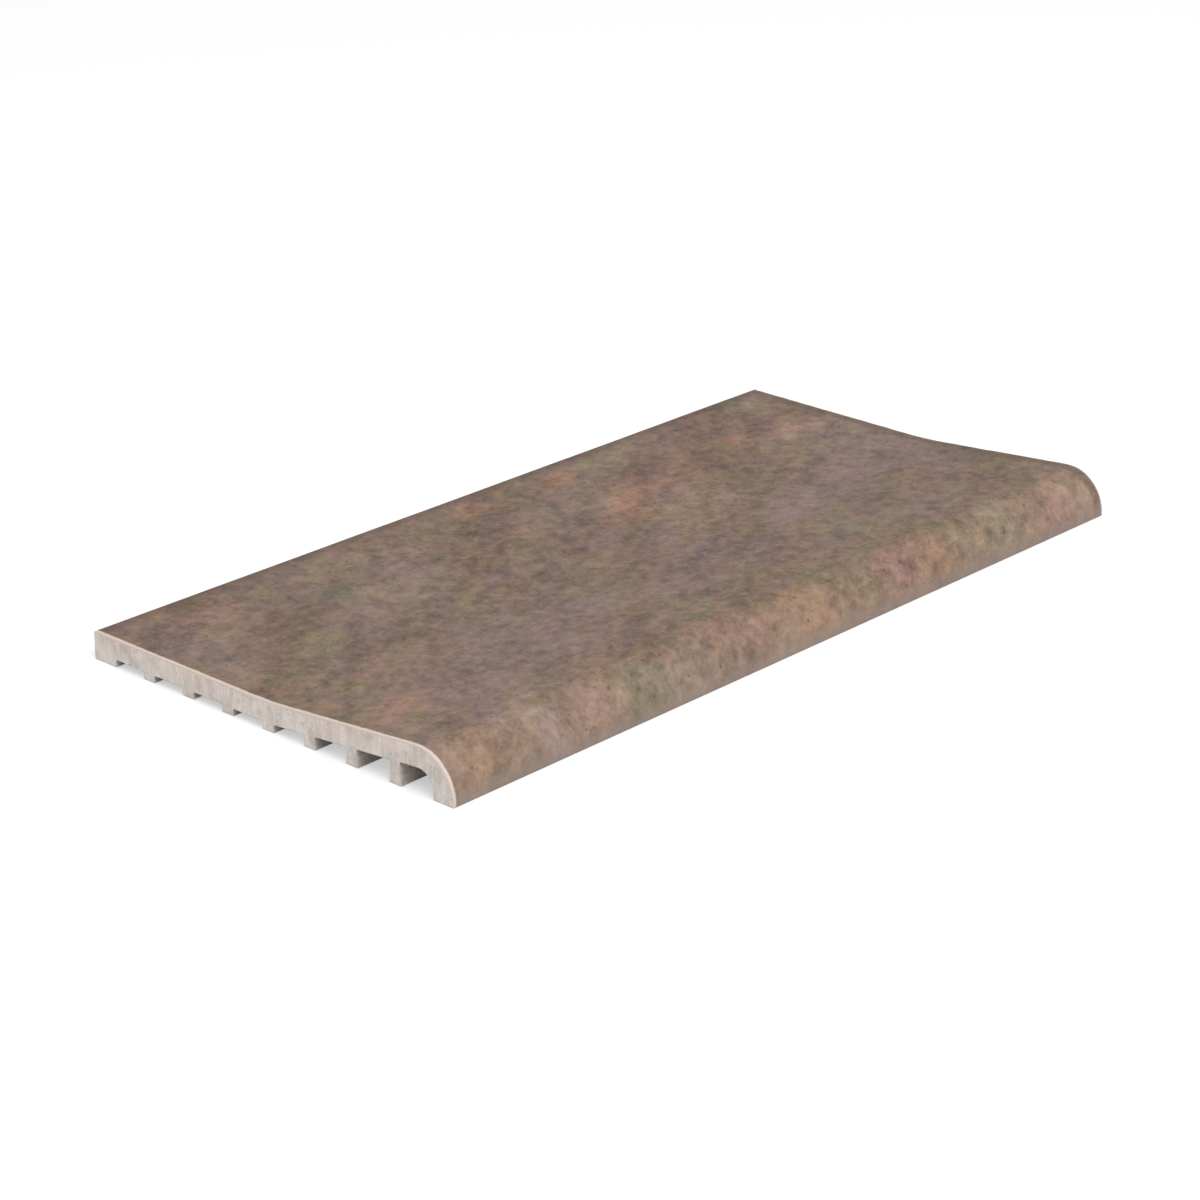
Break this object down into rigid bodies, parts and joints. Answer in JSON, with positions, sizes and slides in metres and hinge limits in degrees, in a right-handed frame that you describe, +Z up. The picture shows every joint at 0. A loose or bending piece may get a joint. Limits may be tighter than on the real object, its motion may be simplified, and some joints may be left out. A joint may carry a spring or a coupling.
{
  "type": "pool coping tile",
  "caption": "Rectangular stoneware coping tile whose flat deck ramps up to a raised bullnose along one long edge, with dovetail ribs underneath, bedded along the rim of a swimming pool.",
  "frame": {"origin": "centre of the tile's footprint, on the plane of the feet that it is bedded on", "axes": "+X along the nosing, +Y away from the pool so the nosing faces -Y, +Z up out of the glazed face"},
  "size_m": [0.33, 0.165, 0.016],
  "materials": {
    "glazed_stoneware": "satin glaze, mottled brown with grey-mauve, rust and olive clouds, over a pale pinkish clay body that shows on the cut ends and the ribbed back"
  },
  "bodies": {
    "root": {"coping_tile": "glazed_stoneware"}
  },
  "joints": []
}
